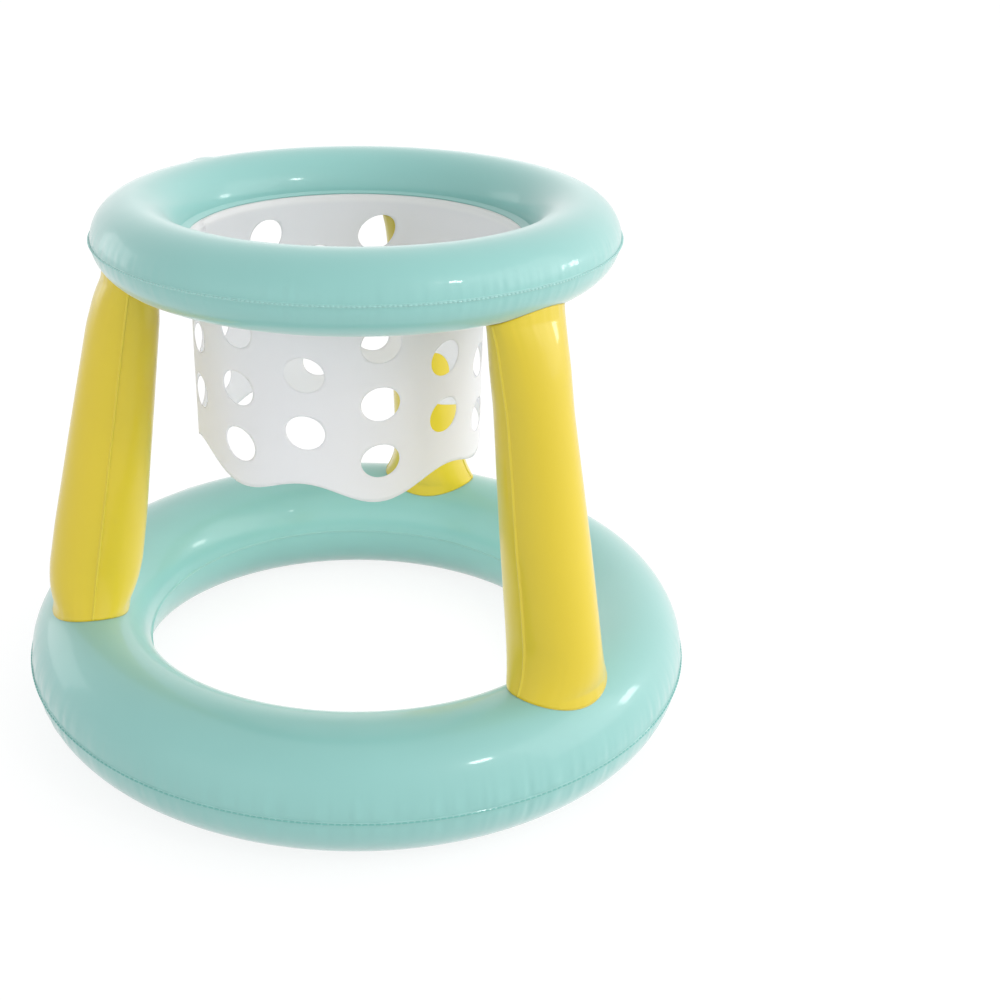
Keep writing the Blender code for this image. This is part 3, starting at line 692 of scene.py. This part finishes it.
def leg_panel(name, angle, outward, phase):
    turn = np.linspace(-math.pi / 2, math.pi / 2, PANEL_COLUMNS)
    if outward < 0:
        turn = math.pi - turn
    foot = meeting_height(turn, BASE, 1, FIT + FILM + COLLAR_FIT)
    head = meeting_height(turn, TOP, -1, FIT + FILM + COLLAR_FIT)
    share = crowded_ends(PANEL_ROWS, PANEL_CROWDING_SHARE)[:, None]
    height = foot + (head - foot) * share
    from_foot = height - foot
    from_head = head - height
    fade_foot = np.exp(-from_foot / END_PUCKER_REACH)
    fade_head = np.exp(-from_head / END_PUCKER_REACH)
    edge = np.sin(np.abs(np.cos(turn)) * math.pi / 2)
    pucker = END_PUCKER_HEIGHT * edge * (
        fade_foot * gathers(turn, phase) + fade_head * gathers(turn, phase + HEAD_PHASE)
    )
    out, across = leg_point(turn, height, pucker)
    middle = FOOT_RADIUS + (HEAD_RADIUS - FOOT_RADIUS) * (height - CROWN) / LEG_HEIGHT
    gap = FIT / 2
    out = np.maximum(out, middle + gap) if outward > 0 else np.minimum(out, middle - gap)
    from_side = np.abs(np.abs(across) - np.abs(across[:, :1])) + np.abs(out - out[:, :1])
    out, across, height, from_side = (
        np.pad(values, ((0, 0), (1, 1)), mode="edge") for values in (out, across, height, from_side)
    )
    across[:, [0, -1]] += SIDE_LIP * np.sign(across[:, [0, -1]])
    points = round_ring(out, across, height, angle).reshape(-1, 3)
    faces = grid_faces(PANEL_ROWS, PANEL_COLUMNS + 2)
    # The distance from the side weld makes the film material paint a paler line along the side lips, a
    # painted highlight.
    return mesh_object(name, points, faces, YELLOW, from_side)


for index in range(LEG_COUNT):
    angle = leg_angle(index)
    for label, outward in (("outer", 1), ("inner", -1)):
        name = f"leg_{index + 1}_{label}"
        panel = leg_panel(f"{name}_film", angle, outward, LEG_PHASE_STEP * index + outward)
        give_wall(panel)
        settle(panel, "hoop", "yellow_film", f"{name}_panel")
print("leg panels:", 2 * LEG_COUNT, "of", PANEL_ROWS, "rows")

# %% [markdown]
# ## Weld collars
# Where a leg stands on a ring, its end is welded down through a flat collar of yellow film.
# Only its rim shows, as a thin line round the foot and the head. It is a closed band that
# follows the same meeting curve, a few tenths of a millimetre wider than the leg outside and
# 7 mm wide inside it.

# %% Weld collars
COLLAR_COLUMNS = 144
COLLAR_ROWS = 7
COLLAR_INSIDE = 0.007
FOOT_COLLAR_OUTSIDE = 0.0003
HEAD_COLLAR_OUTSIDE = 0.0005


def weld_collar(name, angle, ring, side, outside):
    turn = np.linspace(0, TURN, COLLAR_COLUMNS, endpoint=False)
    sheet_rows = []
    for clearance in (FIT, FIT + FILM):
        widths = np.linspace(-COLLAR_INSIDE, outside, COLLAR_ROWS)
        for grow in widths if clearance == FIT else widths[::-1]:
            height = meeting_height(turn, ring, side, clearance, grow)
            sheet_rows.append(round_ring(*leg_point(turn, height, grow), height, angle))
    sheet_rows.append(sheet_rows[0])
    points = np.concatenate(sheet_rows)
    faces = grid_faces(len(sheet_rows), COLLAR_COLUMNS, flip=side > 0, closed=True)
    collar = mesh_object(name, points, faces, YELLOW)
    shape = bmesh.new()
    shape.from_mesh(collar.data)
    bmesh.ops.remove_doubles(shape, verts=shape.verts, dist=MERGE_DISTANCE)
    bmesh.ops.recalc_face_normals(shape, faces=shape.faces)
    shape.to_mesh(collar.data)
    shape.free()
    store(collar.data, "from_weld", np.full(len(collar.data.vertices), COLLAR_INSIDE))
    return collar


for index in range(LEG_COUNT):
    angle = leg_angle(index)
    for label, ring, side, outside in (
        ("foot", BASE, 1, FOOT_COLLAR_OUTSIDE),
        ("head", TOP, -1, HEAD_COLLAR_OUTSIDE),
    ):
        name = f"leg_{index + 1}_{label}_weld"
        collar = weld_collar(f"{name}_band", angle, ring, side, outside)
        settle(collar, "hoop", "yellow_film", f"{name}_collar")
print("weld collars:", 2 * LEG_COUNT)

# %% [markdown]
# ## The net
# The net is not knotted cord but one strip of white film, punched with ovals in a staggered
# pattern, cut wavy along the bottom and rolled into a sleeve. Punched holes repeat, so
# Geometry Nodes lay them out: one cell of film with a hole in it is set out in rows and
# columns, every other column half a row up, with plain patches filling the gaps. The flat
# sheet is then trimmed to its wavy edge and rolled up in code.

# %% Net sizes
NET_RADIUS = 0.138
NET_HEM_RADIUS = 0.1525
NET_HEM_DROP = 0.0050
NET_NECK_DROP = 0.062
NET_MEAN_LENGTH = 0.1989
NET_WAVE_HALF_HEIGHT = 0.0088
NET_SWING = (-0.0156, -0.0054)
NET_SEAM_ANGLE = math.radians(180)
NET_OVERLAP_ANGLE = math.radians(3)
NET_OVERLAP_RAMP_ANGLE = math.radians(15)
HOLE_COLUMNS = 13
HOLE_ROWS = 3
HOLE_WIDTH = 0.036
HOLE_HEIGHT = 0.0315
HOLE_ROW_PITCH = 0.0541
HOLE_LOWEST_DROP = 0.1678
HOLE_FIRST_ANGLE = math.radians(192.4)
HOLE_COLUMN_ANGLE = math.radians(28.2)
FOLD_COLUMN = 9
FOLD_SHIFT = math.radians(8.8)
FOLD_SPREAD = 1.1
NET_SAG = 0.0057
NET_SAG_ANGLE = math.radians(-64)
NET_CREASE_ANGLE = math.radians(445)
NET_CREASE_SPREAD = math.radians(3.5)
NET_CREASE_DEPTH = 0.0022
NET_BILLOW = 0.0006
NET_WELD_SHARE = 0.15
NET_MERGE_DISTANCE = 0.00002
CELL_STEPS = 12
CELL_RINGS = 5
CELL_RING_POWER = 1.3
COLUMN_PITCH = NET_RADIUS * HOLE_COLUMN_ANGLE
STEP_DROP = HOLE_ROW_PITCH / CELL_STEPS
NET_TOP = TOP.inner_seam - FIT / 2 - FILM - FIT - FILM
NET_WELD_WIDTH = 0.003
print("cell of the net:", round(COLUMN_PITCH, 4), "by", HOLE_ROW_PITCH, "m")

# %% Net cell
def cell_border():
    """Points round a cell's edge, the same number on each side, starting at a corner."""
    half_x = COLUMN_PITCH / 2
    half_y = HOLE_ROW_PITCH / 2
    corners = [(-half_x, -half_y), (half_x, -half_y), (half_x, half_y), (-half_x, half_y)]
    border = []
    for start, end in zip(corners, corners[1:] + corners[:1]):
        for i in range(CELL_STEPS):
            share = i / CELL_STEPS
            border.append([a + (b - a) * share for a, b in zip(start, end)])
    return np.array(border)


def net_cell():
    border = cell_border()
    angle = np.arctan2(border[:, 1] / HOLE_ROW_PITCH, border[:, 0] / COLUMN_PITCH)
    hole = np.stack([np.cos(angle) * HOLE_WIDTH / 2, np.sin(angle) * HOLE_HEIGHT / 2], axis=-1)
    shares = [(k / CELL_RINGS) ** CELL_RING_POWER for k in range(CELL_RINGS + 1)]
    points = np.concatenate([hole + (border - hole) * share for share in shares])
    mesh = bpy.data.meshes.new("net_cell")
    faces = grid_faces(CELL_RINGS + 1, len(border), flip=True, closed=True)
    mesh.from_pydata([(x, y, 0) for x, y in points], [], faces)
    return bpy.data.objects.new("net_cell", mesh)


cell = net_cell()
print("one cell:", len(cell.data.polygons), "faces")

# %% Net tree
def net_tree(cell):
    tree, given = geometry_tree(
        "punched_sheet",
        [
            ("Columns", "NodeSocketInt", HOLE_COLUMNS),
            ("Rows", "NodeSocketInt", HOLE_ROWS),
            ("Column Pitch", "NodeSocketFloat", COLUMN_PITCH),
            ("Row Pitch", "NodeSocketFloat", HOLE_ROW_PITCH),
            ("Cell", "NodeSocketObject", None),
            ("Material", "NodeSocketMaterial", None),
        ],
    )
    half_row = calc(tree, "MULTIPLY", given["Row Pitch"], 0.5)
    last_column = calc(tree, "SUBTRACT", given["Columns"], 1.0)
    x = made(tree, "ShaderNodeSeparateXYZ", {0: made(tree, "GeometryNodeInputPosition")})
    from_middle = calc(tree, "DIVIDE", x, given["Column Pitch"])
    middle = calc(tree, "MULTIPLY", last_column, 0.5)
    column = calc(tree, "ROUND", calc(tree, "ADD", from_middle, middle))
    raised = calc(tree, "MODULO", column, 2.0)

    def shifted(geometry, height):
        up = made(tree, "ShaderNodeCombineXYZ", {1: height})
        return made(tree, "GeometryNodeSetPosition", {0: geometry, "Offset": up})

    def spots(rows, size_y):
        size_x = calc(tree, "MULTIPLY", given["Column Pitch"], last_column)
        return grid(tree, size_x, size_y, given["Columns"], rows)

    def repeated(points, piece):
        return made(tree, "GeometryNodeInstanceOnPoints", {"Points": points, "Instance": piece})

    tall = calc(tree, "MULTIPLY", given["Row Pitch"], calc(tree, "SUBTRACT", given["Rows"], 1.0))
    cell_shape = add_node(
        tree, "GeometryNodeObjectInfo", {"Object": given["Cell"]}, transform_space="ORIGINAL"
    ).outputs["Geometry"]
    holes = repeated(
        shifted(spots(given["Rows"], tall), calc(tree, "MULTIPLY", raised, half_row)), cell_shape
    )

    patch = grid(tree, given["Column Pitch"], half_row, CELL_STEPS + 1, CELL_STEPS // 2 + 1)
    row_and_half = calc(tree, "MULTIPLY", given["Row Pitch"], 1.5)
    patch_rise = calc(tree, "MULTIPLY", calc(tree, "ADD", tall, row_and_half), 0.5)
    gap = calc(tree, "MULTIPLY", raised, calc(tree, "ADD", tall, given["Row Pitch"]))
    patches = repeated(shifted(spots(1, 0.0), calc(tree, "SUBTRACT", patch_rise, gap)), patch)
    joined = add_node(tree, "GeometryNodeJoinGeometry")
    tree.links.new(patches, joined.inputs[0])
    tree.links.new(holes, joined.inputs[0])
    real = made(tree, "GeometryNodeRealizeInstances", {0: joined.outputs[0]})
    merged = made(tree, "GeometryNodeMergeByDistance", {0: real, "Distance": NET_MERGE_DISTANCE})
    close_tree(tree, merged, given["Material"])
    return tree


net = grown(
    "net_sleeve_film",
    bpy.data.meshes.new("net_seed"),
    net_tree(cell),
    {
        "Columns": HOLE_COLUMNS,
        "Rows": HOLE_ROWS,
        "Column Pitch": COLUMN_PITCH,
        "Row Pitch": HOLE_ROW_PITCH,
        "Cell": cell,
        "Material": WHITE,
    },
)
print("flat net:", len(net.data.polygons), "faces, size", [round(x, 4) for x in net.dimensions])

# %% [markdown]
# The flat sheet now gets its top strip, its bottom strip and the spare end for the overlap,
# each by drawing out the open edge. Rolling up is a sum for each point: how far along the
# strip it lies gives its angle, how far down gives its radius, and the whole sleeve swings a
# little to one side, as the hanging film does. It also billows slightly and has one soft
# crease at the back. Angles run on along the strip from 180 degrees, so the crease's 445 is
# 85 past a full turn. Its weld is a broad flat hem, so only a share of the way down counts as
# distance from the weld.

# %% Roll up the net
GRID_TOP = HOLE_LOWEST_DROP - (HOLE_ROWS - 0.5) * HOLE_ROW_PITCH - HOLE_ROW_PITCH / 2
GRID_BOTTOM = HOLE_LOWEST_DROP + HOLE_ROW_PITCH / 2
TRIM_MARGIN = 0.022
TRIM_ROWS = 3


def draw_out(shape, axis, at, targets):
    """Draw out the open edge that lies at one end of the sheet, in steps."""
    edges = [
        edge
        for edge in shape.edges
        if edge.is_boundary and all(abs(vertex.co[axis] - at) < STEP_DROP / 20 for vertex in edge.verts)
    ]
    for target in targets:
        result = bmesh.ops.extrude_edge_only(shape, edges=edges)["geom"]
        for vertex in result:
            if isinstance(vertex, bmesh.types.BMVert):
                vertex.co[axis] = target
        edges = [edge for edge in result if isinstance(edge, bmesh.types.BMEdge)]
        edges = [edge for edge in edges if all(abs(v.co[axis] - target) < 1e-7 for v in edge.verts)]


def net_row(drop):
    share = np.clip((drop - NET_HEM_DROP) / (NET_NECK_DROP - NET_HEM_DROP), 0, 1)
    ease = share * (2 - share)
    radius = NET_HEM_RADIUS + (NET_RADIUS - NET_HEM_RADIUS) * ease
    bore = TOP.radius - TOP.wall
    weld_inner = bore - TOP.inner_lip
    hem = weld_inner + (NET_HEM_RADIUS - weld_inner) * np.clip(drop / NET_HEM_DROP, 0, 1)
    hem = np.where(drop < 0, weld_inner - drop, hem)
    return np.where(drop < NET_HEM_DROP, hem, radius), ease


def strip_angle(along):
    """Angle of a point on the rolled strip. The holes keep their width, and the plain film
    between them takes up what the fold at the back and the welded ends shift."""
    column = np.arange(HOLE_COLUMNS)
    fold = FOLD_SHIFT * np.exp(-(((column - FOLD_COLUMN) / FOLD_SPREAD) ** 2))
    angle = HOLE_FIRST_ANGLE + column * HOLE_COLUMN_ANGLE + fold
    middle = (column + 0.5) * COLUMN_PITCH
    half_hole = HOLE_WIDTH / 2
    half_angle = half_hole / NET_RADIUS
    spare = NET_OVERLAP_ANGLE * NET_RADIUS
    end = HOLE_COLUMNS * COLUMN_PITCH
    stops = np.stack([middle - half_hole, middle + half_hole], axis=-1).ravel()
    turns = np.stack([angle - half_angle, angle + half_angle], axis=-1).ravel()
    full = NET_SEAM_ANGLE + TURN
    stops = np.concatenate([[0], stops, [end, end + spare]])
    turns = np.concatenate([[NET_SEAM_ANGLE], turns, [full, full + NET_OVERLAP_ANGLE]])
    return np.interp(along, stops, turns)


def edge_drop(along):
    """The wavy lower edge: lowest under the columns of holes that aren't raised."""
    column = along / COLUMN_PITCH % HOLE_COLUMNS - 0.5
    return NET_MEAN_LENGTH + NET_WAVE_HALF_HEIGHT * np.cos(math.pi * column)


def roll_up(net):
    shape = bmesh.new()
    shape.from_mesh(net.data)
    top = max(vertex.co.y for vertex in shape.verts)
    for vertex in shape.verts:
        vertex.co.y = vertex.co.y - top - GRID_TOP
    half = COLUMN_PITCH * HOLE_COLUMNS / 2
    hem = [-NET_HEM_DROP, -NET_HEM_DROP / 2, 0.0, NET_WELD_WIDTH]
    draw_out(shape, 1, -GRID_TOP, hem)
    trim = [-GRID_BOTTOM - STEP_DROP * k for k in range(1, TRIM_ROWS + 1)]
    draw_out(shape, 1, -GRID_BOTTOM, trim)
    spare = NET_OVERLAP_ANGLE * NET_RADIUS
    draw_out(shape, 0, half, [half + spare / 2, half + spare])

    point = np.array([vertex.co for vertex in shape.verts])
    angle = strip_angle(point[:, 0] + half)
    drop = -point[:, 1]
    end = GRID_BOTTOM + TRIM_ROWS * STEP_DROP
    edge = edge_drop(point[:, 0] + half)
    start = edge - TRIM_MARGIN
    drop = np.where(drop > start, start + (drop - start) * (edge - start) / (end - start), drop)
    sag = NET_SAG * np.cos(2 * (angle - NET_SAG_ANGLE))
    drop = drop + sag * np.clip(drop / NET_NECK_DROP, 0, 1)
    radius, ease = net_row(drop)
    ramp = np.clip(1 - (NET_SEAM_ANGLE + TURN - angle) / NET_OVERLAP_RAMP_ANGLE, 0, 1)
    lift = ramp * (FILM + FIT)
    billow = NET_BILLOW * np.sin(3 * angle + 14 * drop) * np.sin(2 * angle - 21 * drop + 1)
    crease = NET_CREASE_DEPTH * np.exp(-(((angle - NET_CREASE_ANGLE) / NET_CREASE_SPREAD) ** 2))
    radius = radius + lift + (billow + crease) * np.clip(drop / NET_NECK_DROP, 0, 1)
    height = NET_TOP - np.maximum(drop, 0)
    hem_lift = np.where(drop <= 0, lift, 0)
    x = radius * np.cos(angle) + NET_SWING[0] * ease
    y = radius * np.sin(angle) + NET_SWING[1] * ease
    for vertex, place in zip(shape.verts, np.stack([x, y, height - hem_lift], axis=-1)):
        vertex.co = place
    # The weld distance is a share of the drop, so the film material paints a paler band about 8 mm deep
    # along the hem.
    weld = shape.verts.layers.float.new("from_weld")
    for vertex, value in zip(shape.verts, drop):
        vertex[weld] = max(value, 0) * NET_WELD_SHARE
    shape.normal_update()
    shape.to_mesh(net.data)
    shape.free()
    net.data.shade_smooth()


roll_up(net)
inward = sum(
    1 for face in net.data.polygons if face.normal.x * face.center.x + face.normal.y * face.center.y < 0
)
print("net rolled up,", inward, "of", len(net.data.polygons), "faces look inwards")

# %% Hang the net
if inward > len(net.data.polygons) / 2:
    net.data.flip_normals()
give_wall(net)
settle(net, "hoop", "white_film", "net_sleeve")

# %% [markdown]
# ## Weld knurl
# A welding tool leaves a row of tiny pillows along each ring's outer seam. They repeat along
# a path, so a tree makes them: it reads the seam as a line, spaces points along it and sets
# one small pillow on each, turned to follow the line. The base ring's pillows are long and
# darker than the film, partly for the doubled film and partly as painted shade under the
# weld's lip. The top ring's are short and pale all over, a painted highlight on the ridge.

# %% Knurl tree
def knurl_tree():
    tree, given = geometry_tree(
        "weld_knurl",
        [
            ("Spacing", "NodeSocketFloat", 0.004),
            ("Size", "NodeSocketVector", (0.0018, 0.0006, 0.0006)),
            ("Material", "NodeSocketMaterial", None),
        ],
    )
    line = made(tree, "GeometryNodeMeshToCurve", {0: given["Geometry"]})
    points = add_node(
        tree, "GeometryNodeCurveToPoints", {"Curve": line, "Length": given["Spacing"]}, mode="LENGTH"
    ).outputs
    along = {"Vector": points["Tangent"]}
    turned = made(tree, "FunctionNodeAlignRotationToVector", along, axis="X", pivot_axis="Z")
    pillow = made(tree, "GeometryNodeMeshUVSphere", {"Segments": 8, "Rings": 5, "Radius": 1.0})
    lying = {"Geometry": pillow, "Rotation": (0, math.pi / 2, 0)}
    pillow = made(tree, "GeometryNodeTransform", lying)
    links = {"Points": points[0], "Instance": pillow, "Rotation": turned, "Scale": given["Size"]}
    row = made(tree, "GeometryNodeInstanceOnPoints", links)
    real = made(tree, "GeometryNodeRealizeInstances", {0: row})
    smooth = made(tree, "GeometryNodeSetShadeSmooth", {0: real})
    close_tree(tree, smooth, given["Material"])
    return tree


KNURL_TREE = knurl_tree()


def circle_line(radius, height, columns=720):
    mesh = bpy.data.meshes.new("seam_line")
    turns = [i * TURN / columns for i in range(columns)]
    points = [(radius * math.cos(a), radius * math.sin(a), height) for a in turns]
    mesh.from_pydata(points, [(i, (i + 1) % columns) for i in range(columns)], [])
    return mesh


# The base ring's darker pillows are partly painted shade, for the shade under the weld's lip.
BASE_KNURL = {"Spacing": 0.0056, "Size": (0.0038, 0.0008, 0.00080), "Material": SEAM_AND_SHADE}
# The top ring's pillows carry no weld distance, so they take the paler weld colour all over: a painted
# highlight along the seam's ridge.
TOP_KNURL = {"Spacing": 0.0040, "Size": (0.0019, 0.0012, 0.00095), "Material": AQUA}

for ring, pillows in ((BASE, BASE_KNURL), (TOP, TOP_KNURL)):
    line = circle_line(ring.radius + ring.wall + ring.outer_lip - FILM, ring.outer_seam)
    knurl = grown(f"{ring.name}_weld_knurl", line, KNURL_TREE, pillows)
    settle(knurl, "hoop", "aqua_film")
    print(knurl.name, len(knurl.data.polygons), "faces")

# %% [markdown]
# ## Valves
# The valves are moulded from clear, slightly milky vinyl. Their shapes in the frame are
# right, so they keep them, and only get a better finish.

# %% Valve vinyl
def clear_vinyl():
    colour = (0.62, 0.70, 0.69)
    material = film_material(
        "clear_vinyl_moulding", colour, colour, roughness=0.28, coat=0.3, sheen=0.0
    )
    scatter_inside(material, share=0.25, reach=0.002)
    return material


VALVE_VINYL = clear_vinyl()
valve_nodes = [item for name, item in frame["nodes"].items() if "_valve_" in name]
for item in valve_nodes:
    item.data.materials.clear()
    item.data.materials.append(VALVE_VINYL)
print("valve pieces finished:", len(valve_nodes))

# %% [markdown]
# ## Studio
# The photograph is a shop picture: a white sweep, soft light from all round and hardly any
# shadow. The floor is white to the camera and to reflections, but it is lit too, so the
# shadow under the ring still shows. The world fills the shade softly, and is stronger from
# the right and from behind.

# %% Floor and world
FLOOR_HALF = 8
FLOOR_DROP = 0.0004
LIT_GREY = 0.75
SEEN_GREY = 0.20
SEEN_GLOW = 0.84


def ray_choice(tree):
    """One where the camera, a reflection or a see-through ray looks, zero elsewhere."""
    path = add_node(tree, "ShaderNodeLightPath").outputs
    seen = calc(tree, "MAXIMUM", path["Is Camera Ray"], path["Is Glossy Ray"])
    return calc(tree, "MAXIMUM", seen, path["Is Transmission Ray"])


def floor_material():
    material = bpy.data.materials.new("white_floor")
    material.use_nodes = True
    tree = material.node_tree
    tree.nodes.clear()
    lit, shaded = (
        made(tree, "ShaderNodeBsdfDiffuse", {"Color": (grey, grey, grey, 1)})
        for grey in (LIT_GREY, SEEN_GREY)
    )
    glow = made(tree, "ShaderNodeEmission", {"Color": (1, 1, 1, 1), "Strength": SEEN_GLOW})
    white = made(tree, "ShaderNodeAddShader", {0: shaded, 1: glow})
    mixed = made(tree, "ShaderNodeMixShader", {0: ray_choice(tree), 1: lit, 2: white})
    add_node(tree, "ShaderNodeOutputMaterial", {0: mixed})
    return material


corners = [
    (x * FLOOR_HALF, y * FLOOR_HALF, -FLOOR_DROP) for x, y in ((-1, -1), (1, -1), (1, 1), (-1, 1))
]
floor = mesh_object("floor", corners, [(0, 1, 2, 3)], floor_material())

EVEN_LIGHT = 0.58
RIGHT_LIGHT = 1.7
BACK_LIGHT = 1.27
LIGHT_FALLOFF_POWER = 2.0

world = bpy.data.worlds.new("studio")
bpy.context.scene.world = world
world.use_nodes = True
sky = world.node_tree
looking = add_node(sky, "ShaderNodeTexCoord").outputs["Generated"]
toward = add_node(sky, "ShaderNodeSeparateXYZ", {0: looking}).outputs
strength = EVEN_LIGHT
for axis, power in ((0, RIGHT_LIGHT), (1, BACK_LIGHT)):
    one_way = calc(sky, "MAXIMUM", toward[axis], 0.0)
    narrowed = calc(sky, "POWER", one_way, LIGHT_FALLOFF_POWER)
    strength = calc(sky, "MULTIPLY_ADD", narrowed, power, strength)
choice = ray_choice(sky)
unlit = calc(sky, "SUBTRACT", 1.0, choice)
strength = calc(sky, "MULTIPLY_ADD", strength, unlit, choice)
sky.nodes["Background"].inputs["Color"].default_value = (1, 1, 1, 1)
sky.links.new(strength, sky.nodes["Background"].inputs["Strength"])
print("floor and world ready")

# %% [markdown]
# A small key, high at the front right, makes the sharp highlights. A broad fill at the front
# left is kept out of reflections. At the right stand a small edge lamp and a broad haze lamp
# for the pale glare on the rings, at the left a low broad one. A point lamp inside the base
# ring lifts the shade in there, and is kept out of reflections too.

# %% Lamps
TARGET = Vector((0, 0, 0.25))
MIDDLE_FILL_PLACE = (0.02, -0.02, 0.13)
MIDDLE_FILL_RADIUS = 0.09
MIDDLE_FILL_POWER = 0.6


def softbox(name, azimuth, elevation, distance, size, power):
    """A rectangular lamp at a compass angle and a height angle from the hoop's middle."""
    data = bpy.data.lights.new(name, "AREA")
    data.shape = "RECTANGLE"
    data.size, data.size_y = size
    data.energy = power
    lamp = placed(name, data)
    azimuth = math.radians(azimuth)
    elevation = math.radians(elevation)
    level = math.cos(elevation)
    toward = Vector((math.cos(azimuth) * level, math.sin(azimuth) * level, math.sin(elevation)))
    lamp.location = TARGET + toward * distance
    lamp.rotation_euler = toward.to_track_quat("Z", "Y").to_euler()
    return lamp


softbox("key", azimuth=-27, elevation=37, distance=3.2, size=(0.36, 0.17), power=7)
front_fill = softbox(
    "front_fill", azimuth=-112, elevation=16, distance=3.2, size=(2.6, 1.6), power=20
)
front_fill.visible_glossy = False
softbox("right_edge", azimuth=28, elevation=14, distance=3.0, size=(0.45, 0.35), power=5)
softbox("right_haze", azimuth=8, elevation=24, distance=3.1, size=(2.2, 2.0), power=12)
softbox("left_edge", azimuth=170, elevation=12, distance=3.0, size=(1.5, 1.3), power=6)

fill_data = bpy.data.lights.new("middle_fill", "POINT")
fill_data.energy = MIDDLE_FILL_POWER
fill_data.shadow_soft_size = MIDDLE_FILL_RADIUS
middle_fill = placed("middle_fill", fill_data)
middle_fill.location = MIDDLE_FILL_PLACE
middle_fill.visible_glossy = False
bpy.context.scene.view_settings.view_transform = "Standard"
